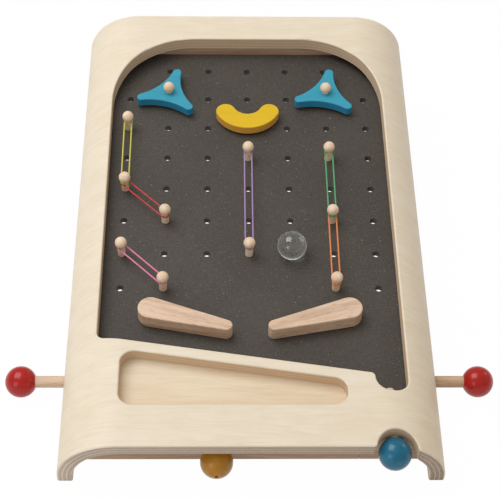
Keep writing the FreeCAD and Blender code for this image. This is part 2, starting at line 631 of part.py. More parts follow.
for word, side in (("left", -1), ("right", 1)):
    low, high = across(side, rod_inner, f"{knob_centre} + knob_seat")
    stick = rod(f"{word}_stick", (low, "-rod_y", "-rod_drop"), "x", "rod_radius", f"({high}) - ({low})")
    finish(f"{word}_push_rod", stick)

    seat_low, seat_high = across(side, "0", f"{knob_centre} + knob_seat + seat_gap")
    seat = rod(f"{word}_knob_bore", (seat_low, "-rod_y", "-rod_drop"), "x", "rod_radius + glue_clear",
               f"({seat_high}) - ({seat_low})")
    sphere = ball(f"{word}_knob_ball", (f"{side} * {knob_centre}", "-rod_y", "-rod_drop"), "knob_radius")
    finish(f"{word}_knob", cut(f"{word}_knob_blank", sphere, seat))

    low, high = across(side, f"{collar_outer} - collar", collar_outer)
    ring = rod(f"{word}_ring", (low, "-rod_y", "-rod_drop"), "x", "collar_radius", f"({high}) - ({low})")
    finish(f"{word}_collar", cut(f"{word}_collar_blank", ring, seat))

    low, high = across(side, yoke_inner, yoke_outer)
    slab = box(f"{word}_yoke_slab", (low, "-rod_y - rod_radius - wire - pin_radius",
                                     "-rod_drop - yoke_half_height"),
               (high, f"{pin_y} + yoke_margin", yoke_top))
    seat_low, seat_high = across(side, f"{rod_inner} - seat_gap", half)
    socket = rod(f"{word}_yoke_bore", (seat_low, "-rod_y", "-rod_drop"), "x",
                 "rod_radius + glue_clear", f"({seat_high}) - ({seat_low})")
    pin_x = f"{side} * (pivot_x + rod_travel / 2)"
    pin_low = "-rod_drop - yoke_half_height / 2"
    pin_hole = rod(f"{word}_pin_hole", (pin_x, pin_y, pin_low), "z", "pin_radius + glue_clear",
                   "rod_drop")
    finish(f"{word}_yoke", cut(f"{word}_yoke_blank", slab, socket, pin_hole))
    finish(f"{word}_drive_pin", rod(f"{word}_pin_stick", (pin_x, pin_y, pin_low), "z", "pin_radius",
                                    f"{crank_top} - seat_gap - ({pin_low})"))

    low, high = across(side, guide_outer, f"{collar_outer} - collar")
    finish(f"{word}_rod_spring", coil(f"{word}_coil", (low, "-rod_y", "-rod_drop"), "x", 6, "rod_coil",
                                      f"({high}) - ({low})"))

    low, high = across(side, "guide_x", guide_outer)
    slab = box(f"{word}_guide_slab", (low, "-rod_y - guide_half", "-guide_foot"),
               (high, "-rod_y + guide_half", "-board"))
    finish(f"{word}_rod_guide", cut(f"{word}_guide_blank", slab, rod_holes))

    pivot = (f"{side} * pivot_x", "-pivot_y")
    shaft_hole = rod(f"{word}_shaft_hole", (*pivot, "-2 * rod_drop"), "z", "shaft_radius + run_clear",
                     "3 * rod_drop")
    shaft_seat = rod(f"{word}_shaft_seat", (*pivot, "-2 * rod_drop"), "z", "shaft_radius + glue_clear",
                     "2 * rod_drop + shaft_top + seat_gap")
    low, high = across(side, "pivot_x - pivot_block / 2", "pivot_x + pivot_block / 2")
    slab = box(f"{word}_pivot_slab", (low, "-pivot_y - pivot_block / 2", "-board - pivot_block_thick"),
               (high, "-pivot_y + pivot_block / 2", "-board"))
    finish(f"{word}_pivot_block", cut(f"{word}_pivot_blank", slab, shaft_hole))
    finish(f"{word}_shaft", rod(f"{word}_shaft_stick", (*pivot, f"{crank_low} - seat_gap"), "z",
                                "shaft_radius", f"shaft_top + seat_gap - {crank_low}"))

    plan = soften(f"{word}_plan", outline_of_flipper(word), "flipper_round",
                  around_top("flipper_lift", "flipper_thick"))
    lean = "180 + flipper_rest" if side > 0 else "-flipper_rest"
    finish(f"{word}_flipper", cut(f"{word}_flipper_blank",
                                  carried(f"{word}_flipper_set", plan, *pivot, "0", lean), shaft_seat))

    arm = fuse(f"{word}_arm",
               rod(f"{word}_boss", ("0", "0", crank_low), "z", "crank_boss", "crank_thick"),
               box(f"{word}_bar", ("0", "-crank_half", crank_low), (slot_reach, "crank_half", crank_top)),
               rod(f"{word}_bar_end", (slot_reach, "0", crank_low), "z", "crank_half", "crank_thick"))
    slot_round = "(pin_radius + pin_clear)"
    slot = fuse(f"{word}_slot",
                rod(f"{word}_slot_in", ("crank_reach", "0", "-2 * rod_drop"), "z", slot_round,
                    "2 * rod_drop"),
                box(f"{word}_slot_mid", ("crank_reach", f"-{slot_round}", "-2 * rod_drop"),
                    (slot_reach, slot_round, "0")),
                rod(f"{word}_slot_out", (slot_reach, "0", "-2 * rod_drop"), "z", slot_round,
                    "2 * rod_drop"))
    lean = f"{side} * {crank_turn} - 90 deg"
    finish(f"{word}_crank", cut(f"{word}_crank_blank",
                                carried(f"{word}_crank_set", cut(f"{word}_crank_arm", arm, slot),
                                        *pivot, "0", lean), shaft_seat))

# ---------------------------------------------------------------- drawer

plate_right = f"({block_side} - drawer_gap)"
plate = common("plate", box("plate_slab", (f"-{half}", apron_face, f"{rail_bottom}"),
                            (plate_right, apron_back, "playfield_gap - drawer_gap")), drawer_room)
drawer_back = f"({apron_back} + drawer_depth)"
divider_left = f"({block_side} - divider / 2)"
knob_x = f"(({plate_right} - {half} + ply + drawer_gap) / 2)"
knob_z = f"({rail_bottom} + rail_height / 2)"
drawer_knob_y = f"({apron_face} - knob_radius + seat_gap)"
screw_hole = rod("drawer_screw_hole", (knob_x, f"{apron_back} - knob_screw_length", knob_z), "y",
                 "knob_screw_radius + glue_clear", "2 * knob_screw_length")
finish("drawer_front", cut("drawer_front_blank", plate, screw_hole))
screw_head = rod("drawer_screw_head", (knob_x, apron_back, knob_z), "y", "knob_screw_head",
                 "knob_screw_radius")
screw_stem = rod("drawer_screw_stem", (knob_x, f"{apron_back} - knob_screw_length", knob_z), "y",
                 "knob_screw_radius", "knob_screw_length")
finish("drawer_screw", fuse("drawer_screw_set", screw_head, screw_stem))
behind = box("behind_plate", (f"-{half}", apron_face, "-body_width"), (half, "0", "body_width"))
pole = rod("knob_pole", (knob_x, f"{drawer_knob_y} - knob_radius", knob_z), "y", "screw_radius",
           "2 * screw_radius")
finish("drawer_knob", cut("drawer_knob_blank",
                          ball("drawer_ball", (knob_x, drawer_knob_y, knob_z), "knob_radius"),
                          behind, screw_hole, pole))
tub_left = f"(-{half} + ply + drawer_left)"
tub = box("tub", (tub_left, apron_back, "-drawer_bottom"),
          (f"{divider_left} - drawer_gap", drawer_back, "-drawer_top"))
tub_room = box("tub_room",
               (f"{tub_left} + drawer_wall", "-body_length", "-drawer_bottom + drawer_floor"),
               (f"{divider_left} - drawer_gap - drawer_wall", f"{drawer_back} - drawer_wall", "0"))
finish("drawer_box", cut("drawer_box_blank", tub, tub_room))

shelf_top = "(-drawer_bottom - run_clear)"
shelf_low = f"({shelf_top} - runner_drop)"
divider_front = f"({apron_back} + seat_gap)"
divider_wall = box("divider_wall", (divider_left, divider_front, shelf_low),
                   (f"{divider_left} + divider", drawer_back, "-board"))
divider_shelf = box("divider_shelf", (f"{divider_left} - divider", divider_front, shelf_low),
                    (divider_left, drawer_back, shelf_top))
finish("drawer_divider", fuse("divider_set", divider_wall, divider_shelf))
runner = box("runner", (f"-{half}", apron_back, shelf_low),
             (f"{tub_left} + drawer_wall", drawer_back, shelf_top))
finish("drawer_runner", common("runner_in_room", runner, room))

# ---------------------------------------------------------------- pegs, bumpers, bands, marble


def at(column, row):
    return f"{column} * hole_pitch", f"{row} * hole_pitch"


def peg(name, column, row):
    """A turned peg: a foot in the board, a shouldered stem, a neck for a band and a round head."""
    x, y = at(column, row)
    return fuse(name,
                rod(name + "_foot", (x, y, "-peg_tail"), "z", "peg_radius", "peg_tail + neck_low"),
                rod(name + "_stem", (x, y, "0"), "z", "peg_radius + seat_gap", "neck_low"),
                rod(name + "_neck", (x, y, "0"), "z", "peg_neck", "peg_head_height"),
                ball(name + "_head", (x, y, "peg_head_height"), "peg_head"))


def peg_group(name, *places):
    members = [peg(f"{name}_{i}", *place) for i, place in enumerate(places)]
    return finish(name, fuse(name + "_set", *members))


def band(name, start, end, level):
    """A rubber band stretched round the necks of two pegs."""
    run = math.hypot(end[0] - start[0], end[1] - start[1])
    turn = math.degrees(math.atan2(end[1] - start[1], end[0] - start[0]))
    reach = f"{run} * hole_pitch"
    offset = "(peg_neck + band_radius + glue_clear)"
    parts = []
    for end_name, x, angle in (("near", "0", 90), ("far", reach, -90)):
        loop = doc.addObject("Part::Torus", f"{name}_{end_name}")
        loop.Angle3 = 180
        loop.Placement = FreeCAD.Placement(FreeCAD.Vector(),
                                           FreeCAD.Rotation(FreeCAD.Vector(0, 0, 1), angle))
        tie(loop, "Radius1", offset)
        tie(loop, "Radius2", "band_radius")
        parts.append(move(loop, x, "0", "0"))
    for side in (-1, 1):
        parts.append(rod(f"{name}_strand_{side + 1}", ("0", f"{side} * {offset}", "0"), "x",
                         "band_radius", reach))
    loop = fuse(name + "_loop", *parts)
    x, y = at(*start)
    held = carried(name + "_held", loop, x, y, f"band_height - {level} * band_step", turn)
    return finish(name, common(name + "_solid", held, everywhere))


everywhere = box("everywhere", ("-body_length", "-body_length", "-body_length"),
                 ("body_length", "body_length", "body_length"))

wall_high, wall_low, wall_inner = (-OUTER, TOP - 2), (-OUTER, 3), (1 - OUTER, 2)
lane_high, lane_low = (-OUTER, 1), (1 - OUTER, 0)
middle_high, middle_low = (0, TOP - 3), (0, 1)
right_high, right_middle, right_low = (BUMPER_COLUMN, TOP - 3), (BUMPER_COLUMN, 2), (BUMPER_COLUMN, 0)
peg_group("upper_left_pegs", wall_high, wall_low, wall_inner)
peg_group("lower_left_pegs", lane_high, lane_low)
peg_group("middle_pegs", middle_high, middle_low)
peg_group("right_pegs", right_high, right_middle, right_low)
band("yellow_band", wall_high, wall_low, 0)
band("red_band", wall_low, wall_inner, 1)
band("pink_band", lane_high, lane_low, 0)
band("purple_band", middle_high, middle_low, 0)
band("green_band", right_high, right_middle, 0)
band("orange_band", right_middle, right_low, 1)

arc_square = "star_waist^2 + star_radius^2 - star_radius * star_waist - star_tip^2"
star_arc = f"(({arc_square}) / (star_radius + 2 * star_tip - 2 * star_waist))"
star_out = "(star_radius + 2 * star_tip)"


def star(name, column, turn):
    """A three-pointed bumper with hollow sides and a bore for its peg."""
    corners = [(f"{star_out} * cos({a})", f"{star_out} * sin({a})") for a in (90, 210, 330)]
    blank = prism(name + "_blank", corners, "bumper_lift", "bumper_thick",
                  [(corner, "star_tip") for corner in range(3)])
    hollows = [rod(f"{name}_hollow_{a}", (f"({star_arc} + star_waist) * cos({a})",
                                         f"({star_arc} + star_waist) * sin({a})", "0"),
                   "z", star_arc, "4 * bumper_thick") for a in (270, 30, 150)]
    doc.recompute()
    rounded = soften(name + "_rounded", cut(name + "_sawn", blank, *hollows), "bumper_round",
                     around_top("bumper_lift", "bumper_thick"))
    bore_hole = rod(name + "_bore", ("0", "0", "0"), "z", "hole_radius", "4 * bumper_thick")
    shaped = cut(name + "_shaped", rounded, bore_hole)
    x, y = at(column, TOP - 1)
    return finish(name, common(name + "_solid", carried(name + "_held", shaped, x, y, "0", turn),
                               everywhere))


for word, side in (("left", -1), ("right", 1)):
    x, y = at(BUMPER_COLUMN * side, TOP - 1)
    finish(f"{word}_star_peg", fuse(
        f"{word}_star_peg_set",
        rod(f"{word}_star_foot", (x, y, "-peg_tail"), "z", "peg_radius", "peg_tail + star_head_height"),
        rod(f"{word}_star_collar", (x, y, "0"), "z", "peg_collar", "collar_height"),
        ball(f"{word}_star_head", (x, y, "star_head_height"), "peg_head")))
    star(f"{word}_star", BUMPER_COLUMN * side, f"{word}_star_turn")

x, y = at(0, TOP - 2)
bore_top = "(bumper_lift + bumper_thick - bumper_roof)"
finish("bumper_peg", fuse(
    "bumper_peg_set",
    rod("bumper_foot", (x, y, "-peg_tail"), "z", "peg_radius", f"peg_tail + {bore_top} - seat_gap"),
    rod("bumper_collar", (x, y, "0"), "z", "peg_collar", "collar_height")))
far = "3 * bumper_arc"
wedge = prism("wedge", [
    ("0", "bumper_arc"),
    (f"-({far}) * sin(bumper_angle)", f"bumper_arc - ({far}) * cos(bumper_angle)"),
    (f"-({far}) * sin(bumper_angle)", f"bumper_arc - ({far})"),
    (f"({far}) * sin(bumper_angle)", f"bumper_arc - ({far})"),
    (f"({far}) * sin(bumper_angle)", f"bumper_arc - ({far}) * cos(bumper_angle)")],
    "bumper_lift", "bumper_thick")
hoop = cut("hoop",
           rod("hoop_out", ("0", "bumper_arc", "bumper_lift"), "z", "bumper_arc + bumper_half_width",
               "bumper_thick"),
           rod("hoop_in", ("0", "bumper_arc", "0"), "z", "bumper_arc - bumper_half_width",
               "4 * bumper_thick"))
horns = [rod(f"horn_{side + 1}", (f"{side} * bumper_arc * sin(bumper_angle)",
                                  "bumper_arc - bumper_arc * cos(bumper_angle)", "bumper_lift"),
             "z", "bumper_half_width", "bumper_thick") for side in (-1, 1)]
crescent = fuse("crescent", common("crescent_arc", hoop, wedge), *horns)
doc.recompute()
rounded = soften("bumper_rounded", crescent, "bumper_round", around_top("bumper_lift", "bumper_thick"))
bumper_bore = rod("bumper_bore", ("0", "0", "0"), "z", "hole_radius", bore_top)
bumper_shape = cut("bumper_shape", rounded, bumper_bore)
finish("bumper", common("bumper_solid", carried("bumper_held", bumper_shape, x, y, "0", "0"),
                        everywhere))

x, y = at(1, 1)
finish("marble", ball("marble_ball", (x, y, "sqrt(marble_radius^2 - hole_radius^2)"), "marble_radius"))

# ---------------------------------------------------------------- check and export

doc.recompute()
faults = [thing.Name for thing in doc.Objects
          if "Invalid" in thing.State or "Error" in thing.State]
for piece in finished:
    if piece.Shape.isNull() or not piece.Shape.isValid():
        faults.append(piece.Label)
if faults:
    raise RuntimeError("failed: " + ", ".join(faults))

os.makedirs("parts", exist_ok=True)
for piece in finished:
    box_of = piece.Shape.BoundBox
    print(f"{piece.Label:18} solids {len(piece.Shape.Solids)}  volume {piece.Shape.Volume:10.1f}  "
          f"x {box_of.XMin:8.2f} {box_of.XMax:8.2f}  y {box_of.YMin:8.2f} {box_of.YMax:8.2f}  "
          f"z {box_of.ZMin:8.2f} {box_of.ZMax:8.2f}")
    piece.Shape.exportStep(f"parts/{piece.Label}.step")
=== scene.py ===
import bmesh
import bpy
import math
from mathutils import Matrix, Vector


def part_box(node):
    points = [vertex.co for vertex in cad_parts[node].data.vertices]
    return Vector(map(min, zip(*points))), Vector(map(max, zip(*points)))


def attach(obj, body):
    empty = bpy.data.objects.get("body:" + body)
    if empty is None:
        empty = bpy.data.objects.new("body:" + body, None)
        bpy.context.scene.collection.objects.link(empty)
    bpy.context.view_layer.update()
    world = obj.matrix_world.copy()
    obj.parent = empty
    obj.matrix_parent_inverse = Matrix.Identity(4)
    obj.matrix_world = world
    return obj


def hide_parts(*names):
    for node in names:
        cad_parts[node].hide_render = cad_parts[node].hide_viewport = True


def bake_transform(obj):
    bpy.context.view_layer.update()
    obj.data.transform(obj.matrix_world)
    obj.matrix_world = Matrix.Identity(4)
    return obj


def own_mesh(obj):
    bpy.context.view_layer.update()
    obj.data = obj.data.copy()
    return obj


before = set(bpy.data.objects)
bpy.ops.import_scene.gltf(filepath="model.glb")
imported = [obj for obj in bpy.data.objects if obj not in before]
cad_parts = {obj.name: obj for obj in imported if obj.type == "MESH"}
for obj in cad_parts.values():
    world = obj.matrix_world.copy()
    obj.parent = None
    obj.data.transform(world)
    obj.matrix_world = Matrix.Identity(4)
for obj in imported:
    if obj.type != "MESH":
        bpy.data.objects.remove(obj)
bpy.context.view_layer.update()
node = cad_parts

# ---- Bent plywood case -----------------------------------------------------------------------
# One sheet of thin birch veneers, glued and pressed into a channel: the deck and its two side
# walls.  The veneers show as fine brown and cream lines wherever the sheet is cut.  The whole
# has a clear matt lacquer.

# The board's slope and the point on its face that places are counted from, then the middle and
# the outer radius of the bends, the sheet's thickness and its front end.
TILT = math.radians(7)
BOARD_ORIGIN = (0, -0.0720375, 0.0531307)
BEND_X, BEND_RISE, BEND_RADIUS = 0.1022, -0.0284, 0.049
SHEET, VENEERS = 0.0122, 7
FRONT_END = -0.1615
NEARLY_NOTHING = 0.00001

# Light and dark tones: of the sheet's faces, then of the veneers cut along and across their
# grain, at the front end and at every other cut, and of the glue between them.
FACE = (0.795, 0.712, 0.580), (0.720, 0.625, 0.485)
FRONT_ALONG = (0.66, 0.565, 0.47), (0.55, 0.455, 0.37)
FRONT_ACROSS = (0.31, 0.235, 0.19), (0.43, 0.34, 0.28)
CUT_ALONG = (0.73, 0.555, 0.385), (0.635, 0.465, 0.31)
CUT_ACROSS = (0.52, 0.37, 0.25), (0.60, 0.45, 0.31)
FRONT_GLUE = (0.18, 0.125, 0.10)
CUT_GLUE = (0.36, 0.25, 0.17)


class Wire:
    """A shader socket; arithmetic on it adds Math nodes."""

    def __init__(self, paint, socket):
        self.paint = paint
        self.socket = socket

    def maths(self, operation, *values):
        return self.paint.node("Math", {"operation": operation}, dict(enumerate(values)))

    def __add__(self, other):
        return self.maths("ADD", self, other)

    def __radd__(self, other):
        return self.maths("ADD", other, self)

    def __sub__(self, other):
        return self.maths("SUBTRACT", self, other)

    def __rsub__(self, other):
        return self.maths("SUBTRACT", other, self)

    def __mul__(self, other):
        return self.maths("MULTIPLY", self, other)

    def __rmul__(self, other):
        return self.maths("MULTIPLY", other, self)

    def __truediv__(self, other):
        return self.maths("DIVIDE", self, other)

    def __rtruediv__(self, other):
        return self.maths("DIVIDE", other, self)

    def __pow__(self, other):
        return self.maths("POWER", self, other)

    def __rpow__(self, other):
        return self.maths("POWER", other, self)

    def __gt__(self, other):
        return self.maths("GREATER_THAN", self, other)

    def __lt__(self, other):
        return self.maths("LESS_THAN", self, other)

    def __abs__(self):
        return self.maths("ABSOLUTE", self)

    def at_least(self, other):
        return self.maths("MAXIMUM", self, other)

    def at_most(self, other):
        return self.maths("MINIMUM", self, other)

    def fraction(self):
        return self.maths("FRACT", self)

    def between(self, low, high):
        """0 below low, 1 above high, smooth in between."""
        return self.paint.node("MapRange", {"interpolation_type": "SMOOTHSTEP"},
                               {"Value": self, "From Min": low, "From Max": high})


class Paint:
    """One finish: a material, its shader and the nodes that vary it."""

    def __init__(self, name, **sockets):
        self.material = bpy.data.materials.new(name)
        self.material.use_nodes = True
        self.tree = self.material.node_tree
        self.shader = self.tree.nodes["Principled BSDF"]
        self.set(**sockets)

    def node(self, kind, settings=None, sockets=None, out=0):
        """A new node: its settings first, then the values or links of its sockets."""
        made = self.tree.nodes.new("ShaderNode" + kind)
        for word, value in (settings or {}).items():
            setattr(made, word, value)
        for key, value in (sockets or {}).items():
            self.feed(made.inputs[key], value)
        return Wire(self, made.outputs[out])

    def feed(self, socket, value):
        if isinstance(value, Wire):
            self.tree.links.new(value.socket, socket)
        elif socket.type == "RGBA":
            socket.default_value = (*value, 1)
        else:
            socket.default_value = value

    def set(self, **sockets):
        for word, value in sockets.items():
            self.feed(self.shader.inputs[word.replace("_", " ")], value)

    def place(self):
        """The point in the board's own frame: across, up the slope, and out of the board."""
        point = self.node("TexCoord", out="Object")
        return self.node("Mapping", {"vector_type": "TEXTURE"},
                         {"Vector": point, "Location": BOARD_ORIGIN, "Rotation": (TILT, 0, 0)})

    def split(self, vector):
        parts = self.node("SeparateXYZ", sockets={0: vector})
        return [Wire(self, socket) for socket in parts.socket.node.outputs]

    def noise(self, vector, scale, detail=2.0, rough=0.5):
        return self.node("TexNoise", sockets={"Vector": vector, "Scale": scale, "Detail": detail,
                                              "Roughness": rough})

    def grain(self, across, up_slope, out, detail=2.0, rough=0.5):
        """Noise over a point whose three numbers are stretched each in its own way."""
        point = self.node("CombineXYZ", sockets={0: across, 1: up_slope, 2: out})
        return self.noise(point, 1.0, detail, rough)

    def mix(self, factor, first, second):
        return self.node("Mix", {"data_type": "RGBA"}, {0: factor, 6: first, 7: second}, out=2)

    def tint(self, factor, first, second):
        return self.node("Mix", {"data_type": "RGBA", "blend_type": "MULTIPLY"},
                         {0: factor, 6: first, 7: second}, out=2)

    def bump(self, height, depth):
        """Relief up to depth, in metres."""
        self.set(Normal=self.node("Bump", sockets={"Height": height, "Distance": depth}))

    def on(self, *names):
        for name in names:
            mesh = node[name].data
            mesh.materials.clear()
            mesh.materials.append(self.material)


bent = Paint("bent_birch", IOR=1.45)
x, y, z = bent.split(bent.place())

# How deep a point lies in the sheet, and how far from the sheet's middle line it was before the
# sheet was bent: over the deck, round the bend and down the wall.
beyond = (abs(x) - BEND_X).at_least(0)
over = z - BEND_RISE
above = over.at_least(0)
depth = BEND_RADIUS - (beyond * beyond + above * above) ** 0.5
turn = beyond.maths("ARCTAN2", beyond, over.at_least(NEARLY_NOTHING))
unrolled = abs(x).at_most(BEND_X) + turn * BEND_RADIUS + (0 - over).at_least(0)
unrolled = unrolled * x.maths("SIGN", x)

# The lacquered faces.  Painted shade makes the right bend a touch darker and warmer
# towards the front.
wander = bent.grain(unrolled * 7, y * 26, 0)
sweep = bent.grain(unrolled * 4, y * 34 + wander * 1.6, depth * 40)
figure = bent.grain(unrolled * 34, y * 480 + wander * 9, depth * 300, 4.0, 0.65)
cloud = bent.grain(unrolled * 30, y * 75, depth * 40, 3.0, 0.6)
fibre = bent.grain(unrolled * 60, y * 1500, depth * 1500, 2.0, 0.6)
cream = bent.mix(figure.between(0.30, 0.70) * 0.6 + cloud.between(0.3, 0.7) * 0.4, *FACE)
cream = bent.tint(sweep.between(0.34, 0.66) * 0.28, cream, (0.955, 0.905, 0.850))
cream = bent.tint(fibre.between(0.56, 0.72) * 0.45, cream, (0.90, 0.85, 0.78))
# Painted shade: the right bend, towards the front, is tinted darker and warmer.
painted_shade_on_bend = x.between(0.11, 0.15) * (1 - y.between(-0.12, 0.14))
cream = bent.tint(painted_shade_on_bend, cream, (0.965, 0.935, 0.890))

# The cut edges: every second veneer shows its end grain, with glue between.  Painted shade
# makes the front end duller towards the right, where its veneers are also clearer, and painted
# light makes its left foot lighter.
ply = depth / (SHEET / VENEERS)
crossed = (ply * 0.5).fraction() > 0.5
glue = abs(ply.fraction() - 0.5).between(0.36, 0.49)
end_grain = bent.grain(x * 500, y * 500, z * 500, 3.0, 0.7)
streak = bent.grain(unrolled * 30, y * 30, depth * 1500)
# Painted shade darkens the front end towards the right; painted light brightens its left foot.
painted_shade_right = x.between(-0.15, 0.05)
painted_light_left_foot = 1 - x.between(-0.148, -0.132)
clearer_right = x.between(0.06, 0.13)
front_along = bent.tint(painted_shade_right, bent.mix(streak, *FRONT_ALONG), (0.85, 0.82, 0.77))
front_along = bent.mix(painted_light_left_foot * 0.6, front_along, (0.80, 0.70, 0.59))
front_across = bent.mix(end_grain.between(0.35, 0.65), *FRONT_ACROSS)
front_across = bent.mix(painted_light_left_foot * 0.6, front_across, (0.52, 0.43, 0.36))
front = bent.mix(crossed * (0.6 + clearer_right * 0.4), front_along, front_across)
front = bent.mix(glue * (0.4 + clearer_right * 0.45), front, FRONT_GLUE)
cut_along = bent.mix(streak, *CUT_ALONG)
cut_across = bent.mix(end_grain.between(0.35, 0.65), *CUT_ACROSS)
cut = bent.mix(glue * 0.35, bent.mix(crossed * 0.6, cut_along, cut_across), CUT_GLUE)
layered = bent.mix(y.between(FRONT_END + 0.0004, FRONT_END + 0.0012), front, cut)

# The cut tones start below the face's rounded edge and stop just short of the sheet's back.
below_face = depth.between(0.0007, 0.0013)
above_back = 1 - depth.between(SHEET - 0.0006, SHEET - 0.0002)
cut_face = below_face * above_back
bent.set(Base_Color=bent.mix(cut_face, cream, layered),
         Roughness=0.46 + figure * 0.12 + cut_face * 0.25)
bent.bump(fibre * 0.4 + figure * 0.3 + cut_face * end_grain * 0.6, 0.0001)
bent.on("shell")

# ---- Flat birch pieces -----------------------------------------------------------------------
# The tray's floor, the slanted strip in front of the flippers, the battens under the sides, the
# plunger's guides and the drawer's box, divider and runner are sawn from flat birch, and have
# the case's matt lacquer.

flat = Paint("birch_panel", IOR=1.45)
x, y, z = flat.split(flat.place())
wander = flat.grain(x * 7, y * 26, 0.3)
sweep = flat.grain(x * 4, y * 38 + wander * 1.8, z * 40)
figure = flat.grain(x * 24, y * 430 + wander * 7, z * 300, 4.0, 0.65)
fibre = flat.grain(x * 70, y * 1400, z * 1400, 2.0, 0.6)
cream = flat.mix(figure.between(0.30, 0.70), (0.80, 0.705, 0.545), (0.735, 0.625, 0.465))
cream = flat.tint(sweep.between(0.36, 0.64) * 0.55, cream, (0.97, 0.885, 0.80))
cream = flat.tint(fibre.between(0.58, 0.72) * 0.4, cream, (0.86, 0.81, 0.74))
flat.set(Base_Color=cream, Roughness=0.5 + figure * 0.1)
flat.bump(fibre * 0.5 + figure * 0.3, 0.0001)
flat.on("tray_panel", "slope_rail", "side_battens", "drawer_box", "drawer_divider",
        "drawer_runner", "plunger_guides")

# ---- Playfield -------------------------------------------------------------------------------
# A sheet of dark hardboard with a grid of peg holes, fixed under the window in the deck.
# Pressed fibres leave it faintly speckled, and clouded a little paler in places.

dark = Paint("dark_hardboard", IOR=1.45)
point = dark.place()
x, y, z = dark.split(point)
cloud = dark.noise(point, 14, 3.0, 0.6)
speck = dark.noise(point, 620, 2.0, 0.7)
dust = dark.noise(point, 520, 1.0)
warp = dark.grain(x * 1150, y * 150, z * 300, 2.0, 0.6)
weft = dark.grain(x * 150, y * 1050, z * 300, 2.0, 0.6)
base = dark.mix(cloud.between(0.3, 0.72), (0.050, 0.0420, 0.0345), (0.064, 0.0545, 0.0450))
base = dark.mix(speck.between(0.50, 0.70) * 0.55, base, (0.120, 0.104, 0.084))
pits = (warp * 0.5 + weft * 0.5).between(0.46, 0.62)
base = dark.mix(pits * 0.5, base, (0.026, 0.021, 0.017))
base = dark.mix(dust.between(0.70, 0.76) * 0.5, base, (0.34, 0.29, 0.22))
dark.set(Base_Color=base, Roughness=0.48 + speck * 0.2)
dark.bump(speck * 0.5 + weft * 0.3 + warp * 0.3, 0.00015)
dark.on("playfield")

# ---- Brown rails -----------------------------------------------------------------------------
# The back rail, the plunger's front block and the drawer's front are one red-brown hardwood,
# stained and waxed, with the grain running across the case.  Painted shade darkens the right.

brown = Paint("brown_hardwood", IOR=1.45)
x, y, z = brown.split(brown.place())
sway = brown.grain(x * 9, y * 60, z * 60)
lines = brown.grain(x * 9, y * 300, z * 300 + sway * 5, 3.0, 0.6)
pores = brown.grain(x * 60, y * 1500, z * 1500)
# Painted shade: the rails grow darker towards the right.
painted_shade_right = (x + 0.15).between(0.0, 0.16)
tone = brown.mix(lines.between(0.34, 0.68), (0.55, 0.375, 0.265), (0.40, 0.25, 0.165))
tone = brown.tint(painted_shade_right, tone, (0.85, 0.84, 0.81))
tone = brown.tint(pores.between(0.6, 0.72) * 0.6, tone, (0.5, 0.42, 0.36))
brown.set(Base_Color=tone, Roughness=0.48 + lines * 0.15)
brown.bump(lines * 0.4 + pores * 0.5, 0.00012)
brown.on("back_rail", "plunger_block", "drawer_front")

# ---- Beech turnings and blocks ---------------------------------------------------------------
# Pegs, rods, cranks and blocks are bare beech: pale pinkish wood with short dark flecks along
# the grain.  Each length is cut along its own grain, so the finish is made once for each way.

ACROSS, UP_SLOPE, OUTWARD = range(3)


def beech(name, along, light, shade, painted_shade_span=None):
    """Bare beech with its grain along one of the board's directions.

    Given a pair of places across the board, painted shade makes the wood grow darker between
    them.
    """
    wood = Paint(name, IOR=1.45)
    places = wood.split(wood.place())

    def stretched(lengthwise, crosswise):
        return [part * (lengthwise if i == along else crosswise) for i, part in enumerate(places)]

    rings = wood.grain(*stretched(14, 260), 3.0, 0.6)
    flecks = wood.grain(*stretched(90, 1300))
    colour = wood.mix(rings.between(0.34, 0.68), light, shade)
    colour = wood.tint(flecks.between(0.56, 0.70) * 0.45, colour, (0.62, 0.50, 0.40))
    if painted_shade_span:
        colour = wood.tint(places[ACROSS].between(*painted_shade_span), colour, (0.90, 0.84, 0.77))
    wood.set(Base_Color=colour, Roughness=0.5 + rings * 0.12)
    wood.bump(rings * 0.5 + flecks * 0.4, 0.0001)
    return wood


peg_beech = beech("beech_pegs", OUTWARD, (0.84, 0.665, 0.50), (0.72, 0.535, 0.38))
peg_beech.on("upper_left_pegs", "lower_left_pegs", "middle_pegs", "right_pegs", "left_star_peg",
             "right_star_peg", "bumper_peg", "left_shaft", "right_shaft", "spring_anchor")
# Painted shade darkens the rods, collars, yokes, guides and blocks on the right.
rod_beech = beech("beech_rods", ACROSS, (0.70, 0.52, 0.375), (0.54, 0.375, 0.25),
                  painted_shade_span=(0.0, 0.1))
rod_beech.on("left_push_rod", "right_push_rod", "left_collar", "right_collar", "left_yoke",
             "right_yoke", "left_rod_guide", "right_rod_guide", "left_pivot_block",
             "right_pivot_block")
plunger_beech = beech("beech_plunger", UP_SLOPE, (0.78, 0.60, 0.42), (0.64, 0.46, 0.30))
plunger_beech.on("plunger_rod", "left_crank", "right_crank")

# ---- Flippers --------------------------------------------------------------------------------
# Two tapered bats cut from plain light brown wood, each fixed on a shaft that goes down through
# the board.  Their long edges are rounded over, and the open grain runs the length of the bat.

LEAN = math.radians(15.5)

for side, lean in (("left", -LEAN), ("right", LEAN)):
    bat = Paint(side + "_flipper_wood", IOR=1.45)
    point = bat.node("Mapping", {"vector_type": "TEXTURE"},
                     {"Vector": bat.place(), "Rotation": (0, 0, lean)})
    x, y, z = bat.split(point)
    rings = bat.grain(x * 16, y * 240, z * 240, 3.0, 0.6)
    pores = bat.grain(x * 110, y * 1500, z * 1500)
    tone = bat.mix(rings.between(0.32, 0.70), (0.73, 0.54, 0.40), (0.575, 0.40, 0.28))
    tone = bat.tint(pores.between(0.56, 0.68) * 0.6, tone, (0.55, 0.42, 0.33))
    bat.set(Base_Color=tone, Roughness=0.5 + rings * 0.12)
    bat.bump(rings * 0.4 + pores * 0.6, 0.00014)
    bat.on(side + "_flipper")

# ---- Ball knobs ------------------------------------------------------------------------------
# Turned wooden balls, dipped in coloured lacquer: two red for the push rods, a blue one for the
# plunger and a yellow one for the drawer.  The turning shows as the faintest ripple.


